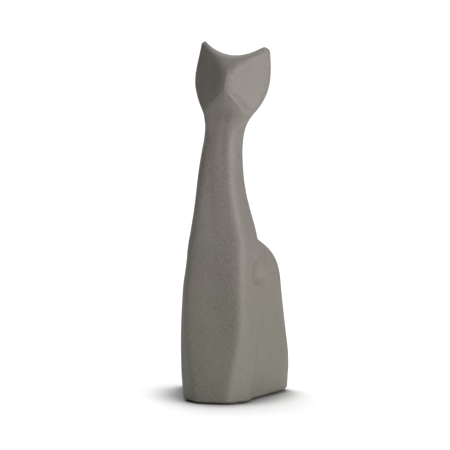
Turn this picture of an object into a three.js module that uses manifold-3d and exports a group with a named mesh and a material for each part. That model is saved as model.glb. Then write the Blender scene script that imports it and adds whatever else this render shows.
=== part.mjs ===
// Seated ceramic cat, hollow slip-cast stoneware, with a rubber stopper in its base and four felt feet.
// Millimetres, +Z up. The cat looks along -Y and its own left side is +X. z = 0 is the underside of the felt.
import * as THREE from "three";
import Module from "manifold-3d";

// ---- driving sizes ----
const FELT_THICKNESS = 1.5;
const FELT_RADIUS = 6;
const FELT_FRONT = { x: 13, y: -35.5 };
const FELT_REAR = { x: 29, y: 30.5 };

const BASE_Z = FELT_THICKNESS; // underside of the ceramic
const NECK_Z = 214; // where the neck hands over to the head
const SADDLE_Z = 288.5; // lowest point of the arc between the ears
const EAR_ARC = 40; // radius of that arc
const BASE_ROUND = 3; // rounding of the bottom edge
const CROWN_ROUND = 3.2; // rounding along the top of the ears
const WALL = 5;
const FLOOR = 6;
const CAVITY_TOP = 274;

const SETBACK = 8.6; // the curves' own origin lies this far in front of the middle of the footprint
const HOLE = { y: -2.5, radius: 12, recessRadius: 16, recessDepth: 2 };
const STOPPER = { gap: 0.3, flangeThickness: 1.4, length: 10, taper: 0.8, ribs: 2, ribHeight: 0.5 };

const NODE_COLOURS = {
  ceramic: { color: 0x88837a, roughness: 0.85, metalness: 0 },
  rubber: { color: 0x2b2a29, roughness: 0.7, metalness: 0 },
  felt: { color: 0x4a443d, roughness: 1, metalness: 0 },
};

// ---- curves up the figure: each pair is (height, value) ----
const FRONT = curve([
  [0, -40.5], [25, -37.5], [60, -34], [100, -30.8], [140, -27.6], [180, -25.8], [205, -24], [222, -21],
  [240, -17], [300, -15],
]);
const BACK = curve([
  [0, 50], [40, 50], [75, 46], [100, 40], [125, 31], [150, 23], [180, 14], [205, 9], [225, 8], [300, 8],
]);
const HALF_WIDTH = curve([
  [0, 28.4], [25, 30.2], [60, 31.2], [90, 30.6], [115, 29.4], [130, 27.5], [145, 24.7], [160, 21.8],
  [175, 19.3], [195, 16.8], [210, 15.7], [222, 15.6], [300, 15.6],
]);
const PANEL_HALF = curve([
  [0, 13.5], [20, 17], [60, 23], [90, 24], [120, 23.2], [150, 19], [180, 14], [210, 11.6], [300, 11],
]);
const CHAMFER_DEPTH = curve([[0, 16], [25, 13], [60, 10.5], [100, 10], [300, 10]]);
const AXIS_X = curve([
  [0, 0], [150, 0.3], [180, 0.4], [205, 0.9], [225, 3.4], [240, 6.4], [262, 9.4], [300, 13.4],
]);
const AXIS_Y = curve([[0, 5], [100, 3], [150, -3], [200, -9], [235, -10], [262, -8], [300, -8]]);
const HEAD_HALF = curve([
  [214, 11], [228, 14], [238, 18.4], [248, 24.2], [255, 27.5], [263, 30], [272, 31], [281, 30.6], [290, 29],
  [300, 27],
]);
const HEAD_BACK = curve([
  [214, 14], [227, 18], [240, 22.5], [252, 24.5], [264, 23], [274, 18], [282, 12.5], [289, 8], [296, 5],
  [302, 4],
]);

const TORSO = { edge: 18, rear: 2.4 }; // how crisp the chamfer edges are, how square the back is
const HAUNCH = { top: 133, shoulder: 92, flare: 16, side: 34.6, rear: 57.5, front: 22, edge: 5.5, blend: 8 };
const HIP = { x: 22, y: 5, z: 112, radius: 12, blend: 2.5 };
const HEAD = {
  yaw: 6, roll: 4.5, cheek: 33.7, noseHalf: 3, noseReach: 24.4, noseZ: 265.5, browZ: 271.5,
  browSlope: 0.42, bridgeSlope: 0.06, chinSlope: 0.54, edge: 22, rear: 2.5,
};

const COLUMNS = 60;
const RINGS = { body: 24, head: 22, crown: 6 };
const CAVITY_COLUMNS = 30;
const CAVITY_RINGS = 20;

const YAW = THREE.MathUtils.degToRad(HEAD.yaw);
const ROLL = THREE.MathUtils.degToRad(HEAD.roll);

// Smooth curve through rising knots that never swings past them.
function curve(knots) {
  const z = knots.map((k) => k[0]);
  const v = knots.map((k) => k[1]);
  const n = z.length;
  const step = z.slice(1).map((b, i) => b - z[i]);
  const slope = step.map((h, i) => (v[i + 1] - v[i]) / h);
  const tangent = z.map((_, i) => {
    if (i === 0) return slope[0];
    if (i === n - 1) return slope[n - 2];
    if (slope[i - 1] * slope[i] <= 0) return 0;
    const before = 2 * step[i] + step[i - 1];
    const after = step[i] + 2 * step[i - 1];
    return (before + after) / (before / slope[i - 1] + after / slope[i]);
  });
  return (height) => {
    const at = THREE.MathUtils.clamp(height, z[0], z[n - 1]);
    let i = 0;
    while (i < n - 2 && at >= z[i + 1]) i += 1;
    const t = (at - z[i]) / step[i];
    const s = 1 - t;
    return (
      (1 + 2 * t) * s * s * v[i] +
      t * s * s * step[i] * tangent[i] +
      t * t * (3 - 2 * t) * v[i + 1] -
      t * t * s * step[i] * tangent[i + 1]
    );
  };
}

function smoothMax(a, b, blend) {
  const near = Math.max(blend - Math.abs(a - b), 0) / blend;
  return Math.max(a, b) + (near * near * blend) / 4;
}

// Distance from the axis to a soft-edged outline, given how strongly each face is met.
function reachOf(faces, edge) {
  const sum = faces.reduce((total, face) => total + Math.max(face, 0) ** edge, 0);
  return sum ** (-1 / edge);
}

function rearFace(x, y, halfWidth, back, squareness) {
  return ((Math.abs(x) / halfWidth) ** squareness + (Math.max(y, 0) / back) ** squareness) ** (1 / squareness);
}

// Tapering block: flat front panel, two chamfers, rounded back.
function torsoReach(x, y, z) {
  const front = AXIS_Y(z) - FRONT(z);
  const back = BACK(z) - AXIS_Y(z);
  const half = HALF_WIDTH(z);
  const panel = PANEL_HALF(z);
  const normal = new THREE.Vector2(CHAMFER_DEPTH(z), half - panel).normalize();
  const chamfer = (Math.abs(x) * normal.x - y * normal.y) / (normal.x * panel + normal.y * front);
  return reachOf([-y / front, chamfer, rearFace(x, y, half, back, TORSO.rear)], TORSO.edge);
}

// Rump and thighs: flares towards the back and ends in a domed top.
function haunchReach(x, y, z) {
  const rise = THREE.MathUtils.clamp((z - HAUNCH.shoulder) / (HAUNCH.top - HAUNCH.shoulder), 0, 1);
  const dome = Math.max(1 - rise ** 3.2, 0) ** 0.45;
  const flare = THREE.MathUtils.degToRad(HAUNCH.flare);
  const side = Math.cos(flare) * (HAUNCH.side - 0.03 * z) - Math.sin(flare) * (2 - AXIS_Y(z));
  const across = (Math.abs(x) * Math.cos(flare) - y * Math.sin(flare)) / side;
  const rear = y / (HAUNCH.rear - 0.095 * z - AXIS_Y(z));
  return dome * reachOf([across, rear, -y / HAUNCH.front], HAUNCH.edge);
}

// Round hip that stands out of the thigh.
function hipReach(x, y, z) {
  const radius2 = HIP.radius ** 2 - (z - HIP.z) ** 2;
  const along = Math.abs(x) * HIP.x + y * (HIP.y - AXIS_Y(z));
  const centre2 = HIP.x ** 2 + (HIP.y - AXIS_Y(z)) ** 2;
  const root = along * along - centre2 + radius2;
  return radius2 > 0 && root > 0 && along > 0 ? along + Math.sqrt(root) : 0;
}

// Head: two cheek planes, a sloping forehead, a narrow nose, a chin that runs back to the neck.
function headReach(x, y, z) {
  const across = x * Math.cos(YAW) + y * Math.sin(YAW);
  const behind = y * Math.cos(YAW) - x * Math.sin(YAW);
  const cheek = THREE.MathUtils.degToRad(HEAD.cheek);
  const cheekOffset = HEAD.noseHalf * Math.sin(cheek) + HEAD.noseReach * Math.cos(cheek);
  const cheekFace = (Math.abs(across) * Math.sin(cheek) - behind * Math.cos(cheek)) / cheekOffset;
  const bridge = HEAD.noseReach - HEAD.bridgeSlope * Math.max(z - HEAD.noseZ, 0);
  const brow = HEAD.noseReach - 0.8 - HEAD.browSlope * (z - HEAD.browZ);
  const chin = HEAD.noseReach + 0.3 - HEAD.chinSlope * Math.max(HEAD.noseZ - z, 0);
  const front = Math.max(Math.min(bridge, brow, chin), 1.5);
  const rear = rearFace(across, behind, HEAD_HALF(z), HEAD_BACK(z), HEAD.rear);
  return reachOf([-behind / front, cheekFace, rear], HEAD.edge);
}

// Outline of the whole cat at one height, measured from the axis; angle 0 is the front.
function outline(angle, z) {
  const x = Math.sin(angle);
  const y = -Math.cos(angle);
  const blend = HAUNCH.blend - 5 * THREE.MathUtils.clamp((z - 40) / 60, 0, 1);
  const torso = smoothMax(torsoReach(x, y, z), haunchReach(x, y, z), blend);
  const body = smoothMax(torso, hipReach(x, y, z), HIP.blend);
  if (z <= NECK_Z) return body;
  const head = headReach(x, y, z);
  const joined = smoothMax(body, head, 9 + 5 * Math.max(-y, 0));
  const neck = THREE.MathUtils.lerp(body, joined, THREE.MathUtils.smoothstep(z, NECK_Z, NECK_Z + 14));
  return THREE.MathUtils.lerp(neck, head, THREE.MathUtils.smoothstep(z, 232, 246));
}

function roundOff(depth, radius) {
  const short = Math.max(radius - depth, 0);
  return radius - Math.sqrt(radius * radius - short * short);
}

// Height of the arc between the ears at a point across the head.
function crownHeight(x, y) {
  const across = x * Math.cos(YAW) + y * Math.sin(YAW);
  return SADDLE_Z + EAR_ARC - Math.sqrt(EAR_ARC ** 2 - Math.min(Math.abs(across), EAR_ARC - 2) ** 2);
}

// Height of a ring that is a given share of the way from the neck to the crown.
function headHeight(angle, share) {
  let low = NECK_Z;
  let high = SADDLE_Z + EAR_ARC;
  for (let i = 0; i < 24; i += 1) {
    const z = (low + high) / 2;
    const reach = outline(angle, z);
    const crown = crownHeight(reach * Math.sin(angle), -reach * Math.cos(angle));
    if (NECK_Z + share * (crown - NECK_Z) > z) low = z;
    else high = z;
  }
  return low;
}

// Places a point of the outline: head tilted to the cat's left, everything set on the leaning axis.
function place(reach, angle, z) {
  const x = reach * Math.sin(angle);
  const y = -reach * Math.cos(angle);
  const tilt = ROLL * THREE.MathUtils.smoothstep(z, NECK_Z, NECK_Z + 25);
  return new THREE.Vector3(x * Math.cos(tilt) + AXIS_X(z), y + AXIS_Y(z) - SETBACK, z - x * Math.sin(tilt));
}

// Rows 0-1 climb the body, 1-2 the head, 2-3 close over the crown.
function skinPoint(angle, row) {
  if (row <= 1) {
    const z = THREE.MathUtils.lerp(BASE_Z, NECK_Z, row);
    return place(outline(angle, z) - roundOff(z - BASE_Z, BASE_ROUND), angle, z);
  }
  const z = headHeight(angle, Math.min(row - 1, 1));
  const full = outline(angle, z);
  const crown = crownHeight(full * Math.sin(angle), -full * Math.cos(angle));
  const edge = full - roundOff(crown - z, CROWN_ROUND);
  if (row <= 2) return place(edge, angle, z);
  const reach = edge * (3 - row);
  return place(reach, angle, crownHeight(reach * Math.sin(angle), -reach * Math.cos(angle)));
}

// Inside of the casting: the same outline one wall thickness in, closed by a dome in the head.
function cavityPoint(angle, row) {
  const bottom = BASE_Z + FLOOR;
  const z = THREE.MathUtils.lerp(bottom, CAVITY_TOP, row);
  const shrink = Math.sqrt(1 - THREE.MathUtils.clamp((z - CAVITY_TOP + 14) / 14, 0, 1) ** 2);
  return place(Math.max((outline(angle, z) - WALL) * shrink, 0.02), angle, z);
}

// Closed surface through rings of points, with a fan at each end.
function closedSkin(pointAt, rows, columns) {
  const points = rows.flatMap((row) =>
    Array.from({ length: columns }, (_, c) => pointAt((c / columns) * 2 * Math.PI, row)),
  );
  const mean = (ring) =>
    points
      .slice(ring * columns, (ring + 1) * columns)
      .reduce((sum, p) => sum.add(p), new THREE.Vector3())
      .divideScalar(columns);
  const foot = points.push(mean(0)) - 1;
  const peak = points.push(mean(rows.length - 1)) - 1;
  const index = [];
  for (let c = 0; c < columns; c += 1) {
    const next = (c + 1) % columns;
    const top = (rows.length - 1) * columns;
    index.push(foot, next, c, peak, top + c, top + next);
    for (let r = 0; r < rows.length - 1; r += 1) {
      const a = r * columns + c;
      const b = r * columns + next;
      index.push(a, b, b + columns, a, b + columns, a + columns);
    }
  }
  return new THREE.BufferGeometry().setFromPoints(points).setIndex(index);
}

const wasm = await Module();
wasm.setup();

function solid(geometry) {
  const source = geometry.index ? geometry.toNonIndexed() : geometry;
  const mesh = new wasm.Mesh({
    numProp: 3,
    vertProperties: new Float32Array(source.attributes.position.array),
    triVerts: Uint32Array.from({ length: source.attributes.position.count }, (_, i) => i),
  });
  mesh.merge();
  return new wasm.Manifold(mesh);
}

function geometryOf(manifold) {
  const mesh = manifold.getMesh();
  return new THREE.BufferGeometry()
    .setAttribute("position", new THREE.BufferAttribute(mesh.vertProperties, 3))
    .setIndex(new THREE.BufferAttribute(mesh.triVerts, 1));
}

// Solid of revolution about a vertical axis through the stopper hole; profile runs upwards.
function turned(profile, y) {
  const points = profile.map(([radius, z]) => new THREE.Vector2(radius, z));
  return new THREE.LatheGeometry(points, 48).rotateX(Math.PI / 2).translate(0, y, 0);
}

function named(name, geometry, finish) {
  const mesh = new THREE.Mesh(geometry, new THREE.MeshStandardMaterial(finish));
  mesh.name = name;
  return mesh;
}

function steps(from, to, count) {
  return Array.from({ length: count }, (_, i) => from + ((to - from) * (i + 1)) / count);
}

// Rows are closer together where an edge is rounded.
function skinRows() {
  const foot = [0, 0.0025, 0.008, 0.0165];
  const body = steps(0.0165, 1, RINGS.body);
  const head = steps(1, 1.965, RINGS.head);
  const brow = [1.985, 1.996, 2];
  const crown = steps(2, 3, RINGS.crown).slice(0, -1);
  return [...foot, ...body, ...head, ...brow, ...crown];
}

function ceramicBody() {
  const outside = solid(closedSkin(skinPoint, skinRows(), COLUMNS));
  const cavityRows = [0, ...steps(0, 0.955, CAVITY_RINGS), 0.98, 0.995];
  const inside = solid(closedSkin(cavityPoint, cavityRows, CAVITY_COLUMNS));
  const recessTop = BASE_Z + HOLE.recessDepth;
  const bore = turned(
    [
      [0, BASE_Z - 1],
      [HOLE.recessRadius, BASE_Z - 1],
      [HOLE.recessRadius, recessTop],
      [HOLE.radius, recessTop],
      [HOLE.radius, BASE_Z + FLOOR + 1],
      [0, BASE_Z + FLOOR + 1],
    ],
    HOLE.y,
  );
  return geometryOf(outside.subtract(inside).subtract(solid(bore)));
}

// Push-in rubber stopper: flange in the recess, tapered plug with soft ribs in the hole.
function baseStopper() {
  const flangeTop = BASE_Z + HOLE.recessDepth - STOPPER.gap;
  const flangeBottom = flangeTop - STOPPER.flangeThickness;
  const flangeRadius = HOLE.recessRadius - 0.6;
  const plugRadius = HOLE.radius - STOPPER.gap - STOPPER.ribHeight;
  const ribPitch = STOPPER.length / (STOPPER.ribs + 1.5);
  const ribs = Array.from({ length: STOPPER.ribs }, (_, i) => {
    const z = flangeTop + ribPitch * (i + 0.9);
    return [
      [plugRadius, z - 0.9],
      [plugRadius + STOPPER.ribHeight, z - 0.2],
      [plugRadius + STOPPER.ribHeight, z + 0.2],
      [plugRadius, z + 0.9],
    ];
  }).flat();
  const profile = [
    [0, flangeBottom],
    [flangeRadius - 0.4, flangeBottom],
    [flangeRadius, flangeBottom + 0.4],
    [flangeRadius, flangeTop - 0.3],
    [flangeRadius - 0.3, flangeTop],
    [plugRadius, flangeTop],
    ...ribs,
    [plugRadius - STOPPER.taper, flangeTop + STOPPER.length - 0.8],
    [plugRadius - STOPPER.taper - 0.8, flangeTop + STOPPER.length],
    [0, flangeTop + STOPPER.length],
  ];
  return geometryOf(solid(turned(profile, HOLE.y)));
}

function feltPad(x, y) {
  const disc = new THREE.CylinderGeometry(FELT_RADIUS, FELT_RADIUS, FELT_THICKNESS, 40);
  return disc.rotateX(Math.PI / 2).translate(x, y, FELT_THICKNESS / 2);
}

const cat = new THREE.Group();
cat.name = "ceramic_cat";
cat.add(named("ceramic_body", ceramicBody(), NODE_COLOURS.ceramic));
cat.add(named("base_stopper", baseStopper(), NODE_COLOURS.rubber));
for (const [row, at] of Object.entries({ front: FELT_FRONT, rear: FELT_REAR })) {
  for (const [side, sign] of Object.entries({ left: 1, right: -1 })) {
    cat.add(named(`felt_pad_${row}_${side}`, feltPad(sign * at.x, at.y), NODE_COLOURS.felt));
  }
}

export default cat;
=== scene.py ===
"""Finished look of a tall seated stoneware cat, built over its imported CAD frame.

The cat is one hollow casting in a matt, sandy glaze. Below it are a rubber stopper and four felt feet.
Shapes are worked out in millimetres in the curves' own frame and placed in metres in the row frame.
"""

import logging
import math
from dataclasses import dataclass, field
from enum import Enum
from typing import Callable, Sequence

import bmesh
import bpy
import numpy as np
from bpy.types import Material, Mesh, Node, NodeSocket, NodeTree, Object
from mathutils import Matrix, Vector


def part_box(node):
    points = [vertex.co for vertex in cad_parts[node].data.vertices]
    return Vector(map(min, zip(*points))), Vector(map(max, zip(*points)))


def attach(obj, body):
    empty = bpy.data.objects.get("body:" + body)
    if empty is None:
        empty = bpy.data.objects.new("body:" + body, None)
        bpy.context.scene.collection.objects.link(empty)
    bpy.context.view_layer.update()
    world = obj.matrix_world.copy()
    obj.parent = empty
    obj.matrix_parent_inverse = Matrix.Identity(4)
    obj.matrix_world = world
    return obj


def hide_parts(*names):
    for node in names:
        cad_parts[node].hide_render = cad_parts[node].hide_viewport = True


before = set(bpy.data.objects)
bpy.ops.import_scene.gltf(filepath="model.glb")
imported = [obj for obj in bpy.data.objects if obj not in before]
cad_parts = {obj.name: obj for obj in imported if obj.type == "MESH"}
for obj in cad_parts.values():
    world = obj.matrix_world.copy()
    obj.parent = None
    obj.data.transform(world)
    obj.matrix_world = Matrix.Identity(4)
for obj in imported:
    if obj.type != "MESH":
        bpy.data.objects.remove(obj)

LOG = logging.getLogger("stoneware_cat")
MM = 0.001
Array = np.ndarray
Span = tuple[float, float]
Triple = tuple[float, float, float]
Rgb = Triple
Knots = Sequence[Span]


class Body(Enum):
    """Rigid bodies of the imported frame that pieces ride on."""

    FIGURINE = "figurine"
    STOPPER = "stopper"


class Slot(Enum):
    """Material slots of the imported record."""

    STONEWARE = "stoneware"
    RUBBER = "stopper_rubber"
    FELT = "felt"


class Skin(Enum):
    """Named point attributes that the glaze reads from the casting."""

    RIDGE = "ridge"
    BARE = "bare_clay"


# --- Curves and blends ---


class Curve:
    """Smooth curve through rising knots that never swings past them."""

    def __init__(self, knots: Knots) -> None:
        """Fits the curve.

        Args:
            knots: pairs of height and value, in rising height.
        """
        self.at = np.array([k[0] for k in knots], float)
        self.value = np.array([k[1] for k in knots], float)
        self.step = np.diff(self.at)
        slope = np.diff(self.value) / self.step
        before = 2 * self.step[1:] + self.step[:-1]
        after = self.step[1:] + 2 * self.step[:-1]
        same_way = slope[:-1] * slope[1:] > 0
        safe = np.where(same_way, slope[:-1], 1.0), np.where(same_way, slope[1:], 1.0)
        inner = np.where(same_way, (before + after) / (before / safe[0] + after / safe[1]), 0.0)
        self.tangent = np.concatenate([slope[:1], inner, slope[-1:]])

    def __call__(self, height: Array) -> Array:
        """Value of the curve at each height.

        Args:
            height: heights, which are held inside the first and last knot.

        Returns:
            The values.
        """
        at = np.clip(height, self.at[0], self.at[-1])
        i = np.clip(np.searchsorted(self.at, at, side="right") - 1, 0, len(self.at) - 2)
        t = (at - self.at[i]) / self.step[i]
        s = 1 - t
        return (
            (1 + 2 * t) * s * s * self.value[i]
            + t * s * s * self.step[i] * self.tangent[i]
            + t * t * (3 - 2 * t) * self.value[i + 1]
            - t * t * s * self.step[i] * self.tangent[i + 1]
        )


def ramp(value: Array, low: float, high: float) -> Array:
    """Eases from 0 at low to 1 at high."""
    t = np.clip((value - low) / (high - low), 0, 1)
    return t * t * (3 - 2 * t)


def mix(a: Array, b: Array, share: Array) -> Array:
    """Straight blend from a to b."""
    return a * (1 - share) + b * share


def smooth_max(a: Array, b: Array, blend: Array | float) -> Array:
    """The larger of two reaches, with the corner between them filled over the blend width."""
    near = np.maximum(blend - np.abs(a - b), 0) / blend
    return np.maximum(a, b) + near * near * blend / 4


def reach_of(faces: Sequence[Array], edge: Array | float) -> Array:
    """Distance from the axis to a soft-edged outline.

    Args:
        faces: for each face, how strongly the direction meets it, over its offset.
        edge: crispness of the edges between faces.

    Returns:
        The distance in each direction.
    """
    return sum(np.maximum(face, 0) ** edge for face in faces) ** (-1 / edge)


def rear_face(x: Array, y: Array, half: Array, back: Array, square: float) -> Array:
    """Rounded back and straight sides of a section."""
    return ((np.abs(x) / half) ** square + (np.maximum(y, 0) / back) ** square) ** (1 / square)


def round_off(depth: Array, radius: float) -> Array:
    """How far a surface pulls in at a depth below a rounded edge."""
    short = np.maximum(radius - depth, 0)
    return radius - np.sqrt(radius * radius - short * short)


# --- Shape of the cat ---


@dataclass(frozen=True)
class TorsoForm:
    """Tapering block: flat front panel, two chamfers and a rounded back."""

    front: Curve = Curve(
        [(0, -40.5), (25, -37.5), (60, -34), (100, -30.8), (140, -27.6), (180, -25.8), (205, -24), (222, -21)]
        + [(240, -17), (300, -15)]
    )
    back: Curve = Curve(
        [(0, 50), (40, 50), (75, 46), (100, 40), (125, 31), (150, 23), (180, 14), (205, 9), (225, 8), (300, 8)]
    )
    half: Curve = Curve(
        [(0, 28.3), (12, 29.5), (25, 30.5), (60, 31.5), (90, 30.8), (115, 29.1), (130, 28.2), (145, 25.8)]
        + [(160, 22.8), (175, 20.5), (195, 18.6), (210, 17.3), (222, 16.7), (300, 16.4)]
    )
    panel: Curve = Curve(
        [(0, 13.5), (20, 17), (60, 23), (90, 24), (120, 23.2), (150, 19), (180, 14), (210, 11)]
        + [(225, 9.5), (300, 9)]
    )
    chamfer: Curve = Curve([(0, 16), (25, 13), (60, 10.5), (100, 10), (300, 10)])
    edge: Curve = Curve([(0, 34), (45, 27), (90, 18), (140, 12), (180, 9), (214, 6.5), (300, 5)])
    square: float = 2.4

    def reach(self, x: Array, y: Array, z: Array, axis_y: Array) -> Array:
        """Distance to the torso's surface.

        Args:
            x: sideways part of the direction.
            y: backward part of the direction.
            z: height.
            axis_y: where the axis runs at that height.

        Returns:
            The distance from the axis.
        """
        front, half, panel = axis_y - self.front(z), self.half(z), self.panel(z)
        across, along = self.chamfer(z), half - panel
        length = np.hypot(across, along)
        across, along = across / length, along / length
        chamfer = (np.abs(x) * across - y * along) / (across * panel + along * front)
        rear = rear_face(x, y, half, self.back(z) - axis_y, self.square)
        return reach_of([-y / front, chamfer, rear], self.edge(z))


@dataclass(frozen=True)
class HaunchForm:
    """Rump and thighs: flared towards the back, with a domed top and a round hip on each side."""

    top: float = 136
    shoulder: float = 92
    dome: Span = (2.2, 0.34)
    flare: float = math.radians(19)
    side: Curve = Curve(
        [(0, 32.2), (10, 33.4), (24, 35.0), (33, 35.1), (50, 33.8), (75, 31.9), (95, 30.8), (135, 30.6)]
    )
    flare_y: float = 2
    rear: float = 57.5
    rear_lean: float = 0.095
    front: float = 22
    edge: float = 4.6
    hip: Span = (5.5, 109.5)
    hip_height: float = 3.2
    hip_width: float = 8
    crease: Knots = ((-6, 117), (-9, 112), (-10, 106), (-4, 100.5))
    crease_depth: float = 1.2
    crease_width: float = 2.3
    crease_stretch: float = 3.0
    dimple_depth: float = 1.0
    dimple_size: float = 0.8
    flank: Span = (12, 20)
    far_side: float = 0.45

    def reach(self, x: Array, y: Array, z: Array, axis_y: Array) -> Array:
        """Distance to the haunch's surface.

        Args:
            x: sideways part of the direction.
            y: backward part of the direction.
            z: height.
            axis_y: where the axis runs at that height.

        Returns:
            The distance from the axis, shrinking to nothing at the haunch's top.
        """
        rise = np.clip((z - self.shoulder) / (self.top - self.shoulder), 0, 1)
        dome = np.maximum(1 - rise ** self.dome[0], 0) ** self.dome[1]
        side = math.cos(self.flare) * self.side(z) - math.sin(self.flare) * (self.flare_y - axis_y)
        across = (np.abs(x) * math.cos(self.flare) - y * math.sin(self.flare)) / side
        rear = y / (self.rear - self.rear_lean * z - axis_y)
        return dome * reach_of([across, rear, -y / self.front], self.edge)

    def relief(self, x: Array, y: Array, z: Array) -> Array:
        """Soft swelling of the hip, with the short crease in front of it and the dimple that ends the crease.

        Args:
            x: sideways place on the surface.
            y: backward place on the surface.
            z: height.

        Returns:
            How far the surface stands out, or in where negative.
        """
        hip_y, hip_z = self.hip
        swell = self.hip_height * np.exp(-((y - hip_y) ** 2 + (z - hip_z) ** 2) / self.hip_width**2)
        place = np.stack([y / self.crease_stretch, z], axis=-1)
        line = np.array(self.crease) / (self.crease_stretch, 1)
        apart = np.full(z.shape, np.inf)
        for start, end in zip(line[:-1], line[1:]):
            run = end - start
            along = np.clip((place - start) @ run / (run @ run), 0, 1)
            apart = np.minimum(apart, np.linalg.norm(place - start - along[..., None] * run, axis=-1))
        dimple = np.linalg.norm(place - line[-1], axis=-1)
        sunk = self.crease_depth * np.exp(-((apart / self.crease_width) ** 2))
        sunk = sunk + self.dimple_depth * np.exp(-((dimple / (self.dimple_size * self.crease_width)) ** 2))
        return (swell - sunk) * ramp(np.abs(x), *self.flank) * np.where(x > 0, 1.0, self.far_side)


@dataclass(frozen=True)
class HeadForm:
    """Planar head: two cheeks, a sloping forehead, a narrow nose and a chin that runs back to the neck."""

    yaw: float = math.radians(1.5)
    roll: float = math.radians(4.9)
    cheek: float = math.radians(42)
    nose_half: float = 3
    nose_reach: float = 24.6
    nose_z: float = 260
    brow_z: float = 271.5
    brow_slope: float = 0.2
    brow_curve: float = 0.022
    brow_step: float = 0.6
    bridge_slope: float = 0.06
    chin_slope: float = 0.8
    chin_turn: float = 0.04
    chin_step: float = 0.3
    throat: float = 10.2
    throat_ease: float = 4
    hollow: float = 1.15
    hollow_span: float = 28
    hollow_fade: Span = (272, 290)
    hollow_loss: float = 0.6
    soft: Curve = Curve([(214, 4), (240, 4.5), (250, 5.5), (260, 7), (268, 7.5), (280, 7), (300, 6.5)])
    edge: float = 14
    square: float = 2.5
    half: Curve = Curve(
        [(214, 11), (228, 13.6), (238, 18.5), (248, 25.3), (255, 28.9), (263, 31.6), (272, 32.6), (281, 32.2)]
        + [(290, 31.1), (300, 29.7)]
    )
    back: Curve = Curve(
        [(214, 14), (227, 18), (240, 22.5), (252, 24.5), (264, 23), (274, 19), (282, 14.5), (289, 10.5)]
        + [(296, 8), (302, 7)]
    )
    rim_start: Span = (243, 248)
    rim_end: Span = (256, 261)
    rim_height: float = 0.75
    rim_width: float = 1.9
    rim_far_side: float = 0.25
    fold_depth: float = 0.7
    fold_offset: float = 5.0
    fold_width: float = 3.2

    def local(self, x: Array, y: Array) -> tuple[Array, Array]:
        """Turns a place or direction into the head's own sideways and backward parts."""
        cos, sin = math.cos(self.yaw), math.sin(self.yaw)
        return x * cos + y * sin, y * cos - x * sin

    def brow(self, z: Array) -> Array:
        """How far the bridge and the forehead stand in front of the axis.

        Args:
            z: height.

        Returns:
            The distance at the head's middle.
        """
        bridge = self.nose_reach - self.bridge_slope * np.maximum(z - self.nose_z, 0)
        above = z - self.brow_z
        slope = self.brow_slope + self.brow_curve * np.maximum(above, 0)
        return np.minimum(bridge, self.nose_reach - self.brow_step - slope * above)

    def chin(self, z: Array) -> Array:
        """How far the chin stands in front of the axis at its middle."""
        beyond = self.nose_reach + self.chin_step - self.chin_slope * (self.nose_z - z) - self.throat
        return self.throat + (beyond + np.sqrt(beyond * beyond + self.throat_ease**2)) / 2

    def reach(self, x: Array, y: Array, z: Array) -> Array:
        """Distance to the head's surface, with the muzzle's rim and fold.

        Args:
            x: sideways part of the direction.
            y: backward part of the direction.
            z: height.

        Returns:
            The distance from the axis.
        """
        across, behind = self.local(x, y)
        sin_cheek, cos_cheek = math.sin(self.cheek), math.cos(self.cheek)
        offset = self.nose_half * sin_cheek + self.nose_reach * cos_cheek
        chin = self.chin(z)
        plane = offset / np.maximum(np.abs(across) * sin_cheek - behind * cos_cheek, 1e-3)
        u = np.clip((np.abs(across) * plane - self.nose_half) / self.hollow_span, 0, 1)
        fade = 1 - self.hollow_loss * ramp(z, *self.hollow_fade)
        sunk = self.hollow * 4 * u * (1 - u) * fade
        rear = rear_face(across, behind, self.half(z), self.back(z), self.square)
        faces = [-behind / self.brow(z), (-behind - self.chin_turn * across) / chin, 1 / (plane - sunk)]
        reach = reach_of([1 / reach_of(faces, self.soft(z)), rear], self.edge)
        side = np.sign(across)
        jaw = (offset - chin * cos_cheek) / (sin_cheek + side * self.chin_turn * cos_cheek)
        beyond = np.abs(across) * reach - jaw
        along = ramp(z, *self.rim_start) * (1 - ramp(z, *self.rim_end)) * (behind < 0)
        along = along * np.where(across > 0, 1.0, self.rim_far_side)
        rim = self.rim_height * np.exp(-((beyond / self.rim_width) ** 2))
        fold = self.fold_depth * np.exp(-(((beyond - self.fold_offset) / self.fold_width) ** 2))
        return reach + along * (rim - fold)


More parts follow.
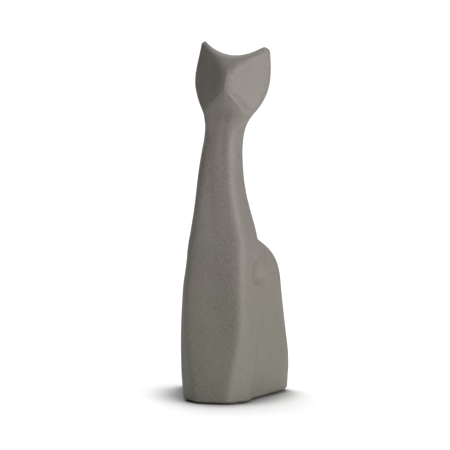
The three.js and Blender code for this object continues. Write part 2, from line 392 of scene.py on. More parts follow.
@dataclass(frozen=True)
class CatForm:
    """Whole outside of the cat, as a reach from a leaning axis at each angle and height."""

    base_z: float = 1.5
    neck_z: float = 214
    saddle_z: float = 287.5
    ear_arc: float = 42.5
    crown_fall: float = math.tan(math.radians(12))
    base_round: float = 1.4
    heel_round: float = 1.7
    heel: Span = (-0.1, 0.5)
    crown_round: float = 3.2
    soft_ear: float = 1.6
    left_ear: Span = (8, 28)
    fillet: Curve = Curve([(40, 4), (100, 3)])
    notch_fillet: float = 10
    notch: Span = (110, 128)
    neck_fillet: float = 8
    neck_rise: float = 20
    head_only: Span = (230, 250)
    tilt_rise: float = 25
    setback: float = 8.6
    axis_x: Curve = Curve(
        [(0, 0), (96, 0), (118, 0.6), (140, 0.9), (160, 0.3), (180, -0.1), (205, 0.8), (225, 3.0)]
        + [(232, 4.0), (240, 6.1), (262, 8.2), (287, 11.7), (300, 13.1)]
    )
    axis_y: Curve = Curve([(0, 5), (100, 3), (150, -3), (200, -9), (235, -10), (262, -8), (300, -8)])
    torso: TorsoForm = TorsoForm()
    haunch: HaunchForm = HaunchForm()
    head: HeadForm = HeadForm()
    halvings: int = 22
    hand_wobble: float = 0.22
    waves: tuple[Triple, ...] = (
        (2, 0.021, 0.4),
        (3, 0.047, 2.1),
        (5, 0.083, 4.4),
        (8, 0.034, 1.3),
    )

    def outline(self, angle: Array, z: Array) -> Array:
        """Reach of the surface.

        Args:
            angle: turn from the front towards the cat's left.
            z: height.

        Returns:
            Distance from the axis.
        """
        x, y, axis_y = np.sin(angle), -np.cos(angle), self.axis_y(z)
        blend = self.fillet(z) + self.notch_fillet * ramp(z, *self.notch)
        body = smooth_max(self.torso.reach(x, y, z, axis_y), self.haunch.reach(x, y, z, axis_y), blend)
        body = body + self.haunch.relief(x * body, y * body + axis_y, z)
        head = self.head.reach(x, y, z)
        joined = smooth_max(body, head, self.neck_fillet)
        neck = mix(body, joined, ramp(z, self.neck_z, self.neck_z + self.neck_rise))
        whole = mix(neck, head, ramp(z, *self.head_only))
        return np.where(z <= self.neck_z, body, whole) + self.wobble(angle, z)

    def wobble(self, angle: Array, z: Array) -> Array:
        """Slow unevenness of a hand-finished surface."""
        return self.hand_wobble / 2 * sum(np.sin(n * angle + f * z + p) for n, f, p in self.waves)

    def crown(self, x: Array, y: Array) -> Array:
        """Height of the arc between the ears, which falls away towards the back.

        Args:
            x: sideways place.
            y: backward place.

        Returns:
            The height before the tilt.
        """
        across, behind = self.head.local(x, y)
        across = np.minimum(np.abs(across), self.ear_arc - 2)
        arc = self.ear_arc - np.sqrt(self.ear_arc**2 - across**2)
        return self.saddle_z + arc - self.crown_fall * behind

    def head_height(self, angle: Array, share: Array) -> Array:
        """Height of a ring a given share of the way from the neck to the crown, found by halving.

        Args:
            angle: turn from the front.
            share: 0 at the neck, 1 at the crown.

        Returns:
            The height before the tilt.
        """
        low = np.full(angle.shape, self.neck_z)
        high = np.full(angle.shape, self.saddle_z + self.ear_arc)
        for _ in range(self.halvings):
            z = (low + high) / 2
            reach = self.outline(angle, z)
            crown = self.crown(reach * np.sin(angle), -reach * np.cos(angle))
            under = self.neck_z + share * (crown - self.neck_z) > z
            low, high = np.where(under, z, low), np.where(under, high, z)
        return low

    def place(self, reach: Array, angle: Array, z: Array) -> Array:
        """Sets points on the leaning axis, with the head tilted to the cat's left.

        Args:
            reach: distance from the axis.
            angle: turn from the front.
            z: height before the tilt.

        Returns:
            Points in the row frame, in millimetres, along a new last dimension.
        """
        x, y = reach * np.sin(angle), -reach * np.cos(angle)
        tilt = self.head.roll * ramp(z, self.neck_z, self.neck_z + self.tilt_rise)
        leaned = [x * np.cos(tilt) + self.axis_x(z), y + self.axis_y(z) - self.setback, z - x * np.sin(tilt)]
        return np.stack(leaned, axis=-1)

    def skin(self, angle: Array, row: Array) -> Array:
        """Points of the outside.

        Args:
            angle: turn from the front.
            row: 0 to 1 climbs the body, 1 to 2 the head, and 2 to 3 closes the crown.

        Returns:
            Points in the row frame, in millimetres.
        """
        body_z = mix(self.base_z, self.neck_z, np.clip(row, 0, 1))
        head_z = self.head_height(angle, np.clip(row - 1, 0, 1))
        z = np.where(row <= 1, body_z, head_z)
        full = self.outline(angle, z)
        crown = self.crown(full * np.sin(angle), -full * np.cos(angle))
        heel = self.heel_round * ramp(-np.cos(angle), *self.heel)
        foot = round_off(z - self.base_z, self.base_round + heel)
        soft = self.crown_round + self.soft_ear * ramp(full * np.sin(angle), *self.left_ear)
        top = np.where(row > 1, round_off(crown - z, soft), 0)
        reach = (full - foot - top) * np.clip(3 - row, 0, 1)
        over = self.crown(reach * np.sin(angle), -reach * np.cos(angle))
        return self.place(reach, angle, np.where(row > 2, over, z))


# --- Node trees ---


class Nodes:
    """Short way to add and join nodes in one tree."""

    def __init__(self, tree: NodeTree) -> None:
        """Wraps a tree."""
        self.tree = tree

    def add(self, kind: str, *inputs: object, **settings: object) -> Node:
        """Adds a node.

        Args:
            kind: Blender's type name.
            inputs: what goes into the first inputs, in order; None leaves one alone.
            settings: properties of the node.

        Returns:
            The node.
        """
        node = self.tree.nodes.new(kind)
        for name, value in settings.items():
            setattr(node, name, value)
        for socket, value in zip(node.inputs, inputs):
            self.feed(socket, value)
        return node

    def feed(self, socket: NodeSocket, value: object) -> None:
        """Links an output into a socket, or sets the socket's own value.

        Args:
            socket: the input.
            value: an output, a value, or None to leave the input alone.
        """
        if isinstance(value, NodeSocket):
            self.tree.links.new(value, socket)
        elif value is not None:
            socket.default_value = value

    def fill(self, node: Node, inputs: dict[str, object]) -> Node:
        """Feeds inputs by name.

        Args:
            node: the node.
            inputs: for each input's name, what goes into it.

        Returns:
            The same node.
        """
        for name, value in inputs.items():
            self.feed(node.inputs[name], value)
        return node

    def place(self) -> NodeSocket:
        """Place in the object's own frame."""
        return self.add("ShaderNodeTexCoord").outputs["Object"]

    def maths(self, operation: str, *inputs: object) -> NodeSocket:
        """Result of a Math node."""
        return self.add("ShaderNodeMath", *inputs, operation=operation).outputs[0]

    def span(self, value: object, between: Span, to: Span = (0, 1)) -> NodeSocket:
        """Result of a clamped, eased Map Range node."""
        return self.add("ShaderNodeMapRange", value, *between, *to, interpolation_type="SMOOTHSTEP").outputs[0]

    def noise(self, where: object, scale: float, detail: float = 2, rough: float = 0.5) -> NodeSocket:
        """Factor of a Noise Texture on given coordinates."""
        values = {"Scale": scale, "Detail": detail, "Roughness": rough}
        return self.fill(self.add("ShaderNodeTexNoise", where), values).outputs["Fac"]

    def blend(self, share: object, a: object, b: object, how: str = "MIX") -> NodeSocket:
        """Result of a colour Mix node.

        Args:
            share: share of b.
            a: first colour or output.
            b: second colour or output.
            how: Blender's name of the way to blend.

        Returns:
            The colour.
        """
        node = self.add("ShaderNodeMix", data_type="RGBA", blend_type=how)
        self.feed(node.inputs[0], share)
        for socket, value in ((node.inputs[6], a), (node.inputs[7], b)):
            self.feed(socket, (*value, 1) if isinstance(value, tuple) and len(value) == 3 else value)
        return node.outputs[2]

    def bump(self, height: object, strength: float, distance: float, onto: object = None) -> NodeSocket:
        """Normal of a Bump node."""
        values = {"Strength": strength, "Distance": distance, "Height": height, "Normal": onto}
        return self.fill(self.add("ShaderNodeBump"), values).outputs[0]


class Finish:
    """Base of every finish: makes a material with one Principled shader."""

    def shader(self, name: str, roughness: float, level: float) -> tuple[Material, Nodes, Node]:
        """Starts a material.

        Args:
            name: the material's name.
            roughness: plain roughness.
            level: specular level.

        Returns:
            The material, its nodes and its shader.
        """
        material = bpy.data.materials.new(name)
        material.use_nodes = True
        nodes = Nodes(material.node_tree)
        shader = material.node_tree.nodes["Principled BSDF"]
        shader.inputs["Roughness"].default_value = roughness
        shader.inputs["Specular IOR Level"].default_value = level
        return material, nodes, shader

    def material(self) -> Material:
        """Builds the material, which each finish does in its own way."""
        raise NotImplementedError


@dataclass(frozen=True)
class SandyGlaze(Finish):
    """Matt stoneware glaze with a fine sandy grain, worn lighter on ridges, bare clay underneath."""

    mean: Rgb = (0.1314, 0.1202, 0.1022)
    deep: Rgb = (0.1042, 0.0944, 0.0788)
    pale: Rgb = (0.1578, 0.1455, 0.1256)
    speck: Rgb = (0.060, 0.050, 0.040)
    clay: Rgb = (0.36, 0.29, 0.21)
    # Tints by height for the foot, the neck and the head; the head's is the darkest.
    foot_tint: Rgb = (0.93, 0.955, 0.905)
    neck_tint: Rgb = (0.945, 0.92, 0.955)
    head_tint: Rgb = (0.875, 0.855, 0.88)
    neck_span: Span = (0.04, 0.18)
    head_span: Span = (0.222, 0.25)
    grain_scale: float = 650
    mottle_scale: float = 150
    cloud_scale: float = 22
    speck_scale: float = 210
    grain_span: Span = (0.3, 0.7)
    mottle_span: Span = (0.35, 0.65)
    mottle_share: float = 0.45
    cloud_span: Span = (0.35, 0.7)
    cloud_share: float = 0.35
    worn_span: Span = (0.1, 1.0)
    worn_share: float = 0.12
    pooled_span: Span = (-0.1, -1.0)
    pooled_share: float = 0.45
    speck_edge: Span = (0.12, 0.2)
    speck_rarity: float = 0.9
    speck_share: float = 0.35
    clay_span: Span = (0.4, 0.6)
    clay_shade: float = 0.8
    clay_wander: Span = (-0.25, 0.25)
    rough_span: Span = (0.52, 0.68)
    mottle_relief: float = 0.45
    grain_relief: float = 0.27
    speck_relief: float = -0.25

    def material(self) -> Material:
        """Builds the glaze.

        Returns:
            The material.
        """
        material, nodes, shader = self.shader("sandy_glaze", 0.6, 0.5)
        where = nodes.place()
        bare = nodes.add("ShaderNodeAttribute", attribute_name=Skin.BARE.value).outputs["Fac"]
        grain = nodes.noise(where, self.grain_scale, 3, 0.6)
        mottle = nodes.noise(where, self.mottle_scale, 3, 0.55)
        speck = self.specks(nodes, where)
        glaze = self.glaze(nodes, where, grain, mottle, speck)
        edge = nodes.maths("ADD", bare, nodes.span(mottle, self.grain_span, self.clay_wander))
        shade = tuple(self.clay_shade * c for c in self.clay)
        clay = nodes.blend(nodes.span(grain, self.grain_span), self.clay, shade)
        coarse = nodes.bump(mottle, 0.5, self.mottle_relief * MM)
        fine = nodes.bump(grain, 0.85, self.grain_relief * MM, coarse)
        surface = {
            "Base Color": nodes.blend(nodes.span(edge, self.clay_span), glaze, clay),
            "Roughness": nodes.span(grain, (0.2, 0.8), self.rough_span),
            "Normal": nodes.bump(speck, 0.6, self.speck_relief * MM, fine),
        }
        nodes.fill(shader, surface)
        return material

    def specks(self, nodes: Nodes, where: NodeSocket) -> NodeSocket:
        """Strews small dark specks, one in a few cells.

        Args:
            nodes: the material's nodes.
            where: place on the cat.

        Returns:
            1 on a speck, 0 elsewhere.
        """
        cells = nodes.add("ShaderNodeTexVoronoi", where, feature="F1")
        nodes.fill(cells, {"Scale": self.speck_scale})
        chance = nodes.add("ShaderNodeSeparateColor", cells.outputs["Color"]).outputs[0]
        wanted = nodes.maths("GREATER_THAN", chance, self.speck_rarity)
        return nodes.maths("MULTIPLY", nodes.span(cells.outputs["Distance"], self.speck_edge, (1, 0)), wanted)

    def glaze(
        self, nodes: Nodes, where: NodeSocket, grain: NodeSocket, mottle: NodeSocket, speck: NodeSocket
    ) -> NodeSocket:
        """Colour of the glaze, with a tint that changes with height.

        Args:
            nodes: the material's nodes.
            where: place on the cat.
            grain: fine grain.
            mottle: coarse grain.
            speck: 1 on a speck.

        Returns:
            The colour.
        """
        ridge = nodes.add("ShaderNodeAttribute", attribute_name=Skin.RIDGE.value).outputs["Fac"]
        cloud = nodes.noise(where, self.cloud_scale, 2, 0.5)
        colour = nodes.blend(nodes.span(grain, self.grain_span), self.deep, self.pale)
        for mask, between, share, onto in (
            (mottle, self.mottle_span, self.mottle_share, self.mean),
            (cloud, self.cloud_span, self.cloud_share, self.pale),
            (ridge, self.worn_span, self.worn_share, self.pale),
            (ridge, self.pooled_span, self.pooled_share, self.deep),
        ):
            colour = nodes.blend(nodes.span(mask, between, (0, share)), colour, onto)
        colour = nodes.blend(nodes.maths("MULTIPLY", speck, self.speck_share), colour, self.speck)
        # Tint by height: slightly greener at the foot, slightly pinker towards the neck, and darker over the
        # head.
        height = nodes.add("ShaderNodeSeparateXYZ", where).outputs[2]
        tint = nodes.blend(nodes.span(height, self.neck_span), self.foot_tint, self.neck_tint)
        tint = nodes.blend(nodes.span(height, self.head_span), tint, self.head_tint)
        return nodes.blend(1.0, colour, tint, "MULTIPLY")


@dataclass(frozen=True)
class SandGrain(Finish):
    """Single grains of grog that stand out of the glaze."""

    dark: Rgb = (0.105, 0.095, 0.080)
    light: Rgb = (0.190, 0.176, 0.152)
    tone_scale: float = 420
    pit_scale: float = 2600

    def material(self) -> Material:
        """Builds the grain's finish.

        Returns:
            The material.
        """
        material, nodes, shader = self.shader("sand_grain", 0.8, 0.3)
        where = nodes.place()
        tone = nodes.span(nodes.noise(where, self.tone_scale, 1, 0.5), (0.38, 0.62))
        pits = nodes.bump(nodes.noise(where, self.pit_scale, 2), 0.5, 0.05 * MM)
        nodes.fill(shader, {"Base Color": nodes.blend(tone, self.dark, self.light), "Normal": pits})
        return material


@dataclass(frozen=True)
class StopperRubber(Finish):
    """Moulded soft rubber with a dusty bloom."""

    base: Rgb = (0.022, 0.021, 0.020)
    bloom: Rgb = (0.075, 0.072, 0.066)
    dust_scale: float = 190
    skin_scale: float = 1500
    rough_span: Span = (0.5, 0.78)

    def material(self) -> Material:
        """Builds the rubber.

        Returns:
            The material.
        """
        material, nodes, shader = self.shader("stopper_rubber", 0.62, 0.4)
        where = nodes.place()
        dust = nodes.noise(where, self.dust_scale, 5, 0.62)
        skin = nodes.noise(where, self.skin_scale, 3, 0.6)
        surface = {
            "Base Color": nodes.blend(nodes.span(dust, (0.42, 0.72)), self.base, self.bloom),
            "Roughness": nodes.span(dust, (0.35, 0.7), self.rough_span),
            "Normal": nodes.bump(skin, 0.5, 0.07 * MM),
        }
        nodes.fill(shader, surface)
        return material


@dataclass(frozen=True)
class PressedFelt(Finish):
    """Pressed wool felt: matted fibres in two close tones, with a soft sheen."""

    dark: Rgb = (0.040, 0.034, 0.028)
    light: Rgb = (0.105, 0.092, 0.076)
    layers: tuple[Triple, ...] = ((0, 0.35, 2100), (1.1, 0.3, 1700))

    def material(self) -> Material:
        """Builds the felt from two crossed layers of drawn-out fibres.

        Returns:
            The material.
        """
        material, nodes, shader = self.shader("pressed_felt", 0.95, 0.1)
        where = nodes.place()
        fibres = []
        for turn, stretch, scale in self.layers:
            drawn = nodes.fill(
                nodes.add("ShaderNodeMapping", where), {"Rotation": (0, 0, turn), "Scale": (1, stretch, 1)}
            )
            fibres.append(nodes.noise(drawn.outputs[0], scale, 4, 0.7))
        matted = nodes.maths("MULTIPLY", nodes.maths("ADD", *fibres), 0.5)
        surface = {
            "Base Color": nodes.blend(nodes.span(matted, (0.38, 0.62)), self.dark, self.light),
            "Normal": nodes.bump(matted, 0.9, 0.25 * MM),
            "Sheen Weight": 0.35,
            "Sheen Roughness": 0.6,
        }
        nodes.fill(shader, surface)
        return material


# --- Mesh helpers ---


def face_out(mesh: Mesh) -> None:
    """Turns every face of a closed mesh outwards and shades it smooth.

    Args:
        mesh: the mesh.
    """
    build = bmesh.new()
    build.from_mesh(mesh)
    bmesh.ops.recalc_face_normals(build, faces=build.faces)
    build.to_mesh(mesh)
    build.free()
    mesh.shade_smooth()


def ring_mesh(name: str, rings: Array) -> Mesh:
    """Closed smooth mesh through rings of points whose first and last ring shrink to a point.

    Args:
        name: the mesh's name.
        rings: points as rings by columns by three, in metres.

    Returns:
        The mesh, its normals outward.
    """
    count, columns, _ = rings.shape
    inner = rings[1:-1].reshape(-1, 3)
    points = np.vstack([inner, rings[0].mean(axis=0), rings[-1].mean(axis=0)])
    first, last = len(inner), len(inner) + 1
    column = np.arange(columns)
    beside = (column + 1) % columns
    rows = (np.arange(count - 3) * columns)[:, None]
    here, next_to = rows + column, rows + beside
    quads = np.stack([here, next_to, next_to + columns, here + columns], axis=-1)
    top = (count - 3) * columns
    fans = [(first, int(b), int(c)) for c, b in zip(column, beside)]
    caps = [(last, int(top + c), int(top + b)) for c, b in zip(column, beside)]
    mesh = bpy.data.meshes.new(name)
    mesh.from_pydata(points.tolist(), [], quads.reshape(-1, 4).tolist() + fans + caps)
    face_out(mesh)
    return mesh


def turned_rings(profile: Knots, columns: int, centre: Span) -> Array:
    """Rings of a turned shape.

    Args:
        profile: radius and height pairs, in millimetres.
        columns: points in each ring.
        centre: where the upright axis stands.

    Returns:
        Points in millimetres, rings by columns by three.
    """
    angle = np.linspace(0, 2 * np.pi, columns, endpoint=False)
    radius, height = (np.array(part, float)[:, None] for part in zip(*profile))
    x, y = centre[0] + radius * np.sin(angle), centre[1] - radius * np.cos(angle)
    return np.stack([x, y, height + 0 * angle], axis=-1)


def eased_profile(corners: Sequence[Triple], cuts: int = 4) -> list[Span]:
    """Profile with each corner rounded.

    Args:
        corners: radius, height and corner radius of each corner.
        cuts: points on each rounded corner.

    Returns:
        Radius and height pairs.
    """
    made: list[Span] = []
    for i, (radius, height, ease) in enumerate(corners):
        here = np.array([radius, height])
        if ease <= 0 or i in (0, len(corners) - 1):
            made.append((radius, height))
            continue
        before, after = np.array(corners[i - 1][:2]) - here, np.array(corners[i + 1][:2]) - here
        start = here + before / np.linalg.norm(before) * ease
        end = here + after / np.linalg.norm(after) * ease
        for t in np.linspace(0, 1, cuts + 1):
            point = (1 - t) ** 2 * start + 2 * t * (1 - t) * here + t * t * end
            made.append((float(point[0]), float(point[1])))
    return made


def new_object(name: str, mesh: Mesh, material: Material) -> Object:
    """Links a mesh into the scene with one material.

    Args:
        name: the object's name.
        mesh: its mesh.
        material: its only material.

    Returns:
        The object, untransformed.
    """
    mesh.materials.clear()
    mesh.materials.append(material)
    made = bpy.data.objects.new(name, mesh)
    bpy.context.scene.collection.objects.link(made)
    return made


def settle(made: Object, body: Body, stands_for: Sequence[str] = ()) -> None:
    """Puts a finished piece on its body.

    Args:
        made: the piece, in place.
        body: the body it moves with.
        stands_for: CAD nodes that it replaces.
    """
    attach(made, body.value)
    if stands_for:
        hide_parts(*stands_for)
    made.data.calc_loop_triangles()
    LOG.info("%s: %d triangles, on %s", made.name, len(made.data.loop_triangles), body.value)


class GeometryTree:
    """A Geometry Nodes tree with named inputs, run once over a carrier mesh."""

    def __init__(self, name: str, inputs: dict[str, tuple[str, float]]) -> None:
        """Starts a tree.

        Args:
            name: the tree's name.
            inputs: for each named input, its socket type and its value.
        """
        self.tree = bpy.data.node_groups.new(name, "GeometryNodeTree")
        interface = self.tree.interface
        interface.new_socket(name="Geometry", in_out="INPUT", socket_type="NodeSocketGeometry")
        interface.new_socket(name="Geometry", in_out="OUTPUT", socket_type="NodeSocketGeometry")
        self.values: dict[str, float] = {}
        for label, (kind, value) in inputs.items():
            socket = interface.new_socket(name=label, in_out="INPUT", socket_type=kind)
            self.values[socket.identifier] = value
        self.nodes = Nodes(self.tree)
        self.start = self.nodes.add("NodeGroupInput")
        self.end = self.nodes.add("NodeGroupOutput")

    def finish(self, geometry: NodeSocket, material: Material) -> None:
        """Ends the tree in Realize Instances and Set Material.

        Args:
            geometry: what the tree has made.
            material: material of the piece.
        """
        real = self.nodes.add("GeometryNodeRealizeInstances", geometry)
        dressed = self.nodes.add("GeometryNodeSetMaterial", real.outputs[0])
        self.nodes.fill(dressed, {"Material": material})
        self.nodes.feed(self.end.inputs[0], dressed.outputs[0])

    def random_vector(self, low: Triple, high: Triple) -> NodeSocket:
        """Random vector between two corners."""
        return self.nodes.add("FunctionNodeRandomValue", low, high, data_type="FLOAT_VECTOR").outputs[0]

    def below(self, value: NodeSocket, limit: float) -> NodeSocket:
        """Whether a value is less than a limit."""
        how = {"data_type": "FLOAT", "operation": "LESS_THAN"}
        return self.nodes.add("FunctionNodeCompare", value, limit, **how).outputs[0]

    def run(self, name: str, carrier: Mesh, material: Material) -> Object:
        """Runs the tree.

        Args:
            name: name of the piece.
            carrier: mesh that the tree starts from.
            material: material of the piece.

        Returns:
            The piece as a plain mesh object.
        """
        holder = bpy.data.objects.new(f"{name}_carrier", carrier)
        bpy.context.scene.collection.objects.link(holder)
        modifier = holder.modifiers.new("grow", "NODES")
        modifier.node_group = self.tree
        for identifier, value in self.values.items():
            modifier[identifier] = value
        graph = bpy.context.evaluated_depsgraph_get()
        mesh = bpy.data.meshes.new_from_object(holder.evaluated_get(graph), depsgraph=graph)
        mesh.name = name
        holder.modifiers.remove(modifier)
        bpy.data.objects.remove(holder)
        return new_object(name, mesh, material)


def strewn(tree: GeometryTree, chosen: object, shape: NodeSocket, size: object) -> NodeSocket:
    """Strews a small shape over a surface, each copy standing on it and turned at random.

    Args:
        tree: the tree to add to; it has inputs named Density and Seed.
        chosen: which faces take part, or None for all.
        shape: the shape's geometry.
        size: scale of each copy.

    Returns:
        The instances.
    """
    add, given = tree.nodes.add, tree.start.outputs
    points = add("GeometryNodeDistributePointsOnFaces", given[0], distribute_method="RANDOM")
    tree.nodes.fill(points, {"Selection": chosen, "Density": given["Density"], "Seed": given["Seed"]})
    spin = add("FunctionNodeRandomValue", data_type="FLOAT")
    tree.nodes.feed(spin.inputs[3], 2 * math.pi)
    turn = add("ShaderNodeCombineXYZ", 0.0, 0.0, spin.outputs[1])
    facing = add("FunctionNodeRotateRotation", points.outputs["Rotation"], rotation_space="LOCAL")
    tree.nodes.feed(facing.inputs[1], add("FunctionNodeEulerToRotation", turn.outputs[0]).outputs[0])
    put = add("GeometryNodeInstanceOnPoints", points.outputs["Points"])
    return tree.nodes.fill(put, {"Instance": shape, "Rotation": facing.outputs[0], "Scale": size}).outputs[0]


# --- Sub-assemblies ---


@dataclass
class Casting:
    """The hollow ceramic body with the hole in its base, and the sand grains in its glaze."""

    form: CatForm = field(default_factory=CatForm)
    columns: int = 288
    body_rows: int = 128
    head_rows: int = 104
    crown_rows: int = 10
    cavity_rows: int = 40
    wall: float = 5
    floor: float = 6
    cavity_top: float = 274
    hole_y: float = -2.5
    hole_radius: float = 12
    recess_radius: float = 16
    recess_depth: float = 2
    foot_rows: tuple[float, ...] = (0, 0.001, 0.0025, 0.005, 0.008, 0.0115)
    body_start: float = 0.0155
    head_share: float = 0.958
    brow_rows: tuple[float, ...] = (0.034, 0.026, 0.018, 0.011, 0.006, 0.0025, 0.0006, 0)
    edge_ease: float = 0.3
    under_rings: int = 12
    cavity_floor: Span = (0.3, 0.7)
    cavity_ease: float = 0.9
    dome: float = 14
    clay_line: Span = (0.05, 0.5)
    worn_reach: tuple[int, int] = (3, 6)
    worn_gain: float = 1.6
    grain_density: float = 26000
    grain_radius: float = 0.34
    grain_seed: int = 7
    grain_small: Triple = (0.5, 0.45, 0.22)
    grain_large: Triple = (1.15, 1.0, 0.5)

    def skin_rows(self) -> Array:
        """Rows of the outside, closer together at the rounded foot and crown.

        Returns:
            The rows, from 0 to 3.
        """
        body = np.linspace(self.body_start, 1, self.body_rows)
        head = 1 + np.linspace(0, self.head_share, self.head_rows)[1:]
        brow = 2 - np.array(self.brow_rows)
        crown = 2 + np.linspace(0, 1, self.crown_rows + 1)[1:]
        return np.concatenate([self.foot_rows, body, head, brow, crown])

    def base_rings(self, outer: Array) -> list[Array]:
        """Underside, recess and hole, from the outer edge inwards and up to the cavity floor.

        Args:
            outer: first ring of the outside.

        Returns:
            Rings in millimetres.
        """
        low, ease = self.form.base_z, self.edge_ease
        profile = [
            (self.recess_radius + 0.8, low, 0),
            (self.recess_radius, low, 0.35),
            (self.recess_radius, low + self.recess_depth, ease),
            (self.hole_radius, low + self.recess_depth, ease),
            (self.hole_radius, low + self.floor, ease),
            (self.hole_radius + 1, low + self.floor, 0),
        ]
        circle = turned_rings(eased_profile(profile), self.columns, (0, self.hole_y))
        under = [outer * (1 - t) + circle[0] * t for t in np.linspace(0, 1, self.under_rings + 2)[1:-1]]
        return [*under, *circle]

    def cavity_rings(self, angle: Array, hole: Array) -> list[Array]:
        """Inside of the casting, from its floor to a dome in the head.

        Args:
            angle: turn of each column from the front.
            hole: last ring of the hole.

        Returns:
            Rings in millimetres.
        """
        low = self.form.base_z + self.floor
        share = np.linspace(0, 1, self.cavity_rows + 1) ** self.cavity_ease
        z = mix(low, self.cavity_top, share)[:, None] + 0 * angle
        shrink = np.sqrt(1 - np.clip((z - self.cavity_top + self.dome) / self.dome, 0, 1) ** 2)
        reach = np.maximum((self.form.outline(angle + 0 * z, z) - self.wall) * shrink, 0.0)
        rings = self.form.place(reach, angle + 0 * z, z)
        floor = [hole * (1 - t) + rings[0] * t for t in self.cavity_floor]
        return [*floor, *rings]

    def mesh(self) -> Mesh:
        """Builds the casting.

        Returns:
            The closed mesh, with its ridge and bare clay attributes.
        """
        angle = np.linspace(0, 2 * np.pi, self.columns, endpoint=False)
        rows = self.skin_rows()
        grid = np.broadcast_to(angle, (len(rows), self.columns))
        outside = self.form.skin(grid, rows[:, None] + 0 * grid)
        base = self.base_rings(outside[0])
        inside = self.cavity_rings(angle, base[-1])
        rings = np.concatenate([outside[::-1], np.array(base), np.array(inside)]) * MM
        mesh = ring_mesh("ceramic_cat", rings)
        self.mark(mesh, outside, len(base) + len(inside))
        return mesh

    def mark(self, mesh: Mesh, outside: Array, hidden_rings: int) -> None:
        """Stores how convex each point is, and where the clay is bare.

        Args:
            mesh: the casting.
            outside: the skin's points, base first.
            hidden_rings: rings of the base and the inside.
        """
        ridge = np.zeros(outside.shape[:2])
        for reach in self.worn_reach:
            across = np.roll(outside, reach, 1) + np.roll(outside, -reach, 1) - 2 * outside
            padded = np.pad(outside, ((reach, reach), (0, 0), (0, 0)), mode="edge")
            along = padded[2 * reach :] + padded[: -2 * reach] - 2 * outside
            tangent = np.roll(outside, -1, 1) - np.roll(outside, 1, 1)
            climb = np.gradient(outside, axis=0)
            normal = np.cross(tangent, climb)
            normal /= np.linalg.norm(normal, axis=-1, keepdims=True) + 1e-9
            span = np.linalg.norm(np.roll(outside, reach, 1) - outside, axis=-1) + 1
            ridge += -np.sum((across + along) * normal, axis=-1) / span
        ridge[: len(self.foot_rows) + 2] = 0
        ridge = np.clip((ridge - np.median(ridge)) * self.worn_gain, -1, 1)
        bare = 1 - ramp(outside[..., 2] - self.form.base_z, *self.clay_line)
        columns = self.columns
        hidden = hidden_rings * columns
        tail = [0.0, 0.0]
        for skin, values, rest in ((Skin.RIDGE, ridge, 0.0), (Skin.BARE, bare, 1.0)):
            flat = np.concatenate([values[::-1][1:].ravel(), np.full(hidden - columns, rest), np.array(tail)])
            attribute = mesh.attributes.new(skin.value, "FLOAT", "POINT")
            attribute.data.foreach_set("value", flat.astype(np.float32))
            tail = [0.0, 1.0]

    def grains(self, shell: Mesh) -> Object:
        """Strews grains of sand over the glaze.

        Args:
            shell: the casting's mesh.

        Returns:
            The grains as one piece.
        """
        tree = GeometryTree(
            "strew_sand",
            {
                "Density": ("NodeSocketFloat", self.grain_density),
                "Grain Radius": ("NodeSocketFloat", self.grain_radius * MM),
                "Seed": ("NodeSocketInt", self.grain_seed),
            },
        )
        bare = tree.nodes.add("GeometryNodeInputNamedAttribute", Skin.BARE.value, data_type="FLOAT")
        glazed = tree.below(bare.outputs[0], 0.5)
        grain = tree.nodes.add("GeometryNodeMeshIcoSphere", tree.start.outputs["Grain Radius"], 1)
        size = tree.random_vector(self.grain_small, self.grain_large)
        material = SandGrain().material()
        tree.finish(strewn(tree, glazed, grain.outputs[0], size), material)
        made = tree.run("sand_grains", shell.copy(), material)
        made.data.shade_smooth()
        return made

    def build(self) -> None:
        """Makes and settles the casting and its grains."""
        shell = self.mesh()
        casting = new_object("ceramic_cat", shell, SandyGlaze().material())
        grains = self.grains(shell)
        settle(casting, Body.FIGURINE, ("ceramic_body",))
        settle(grains, Body.FIGURINE)


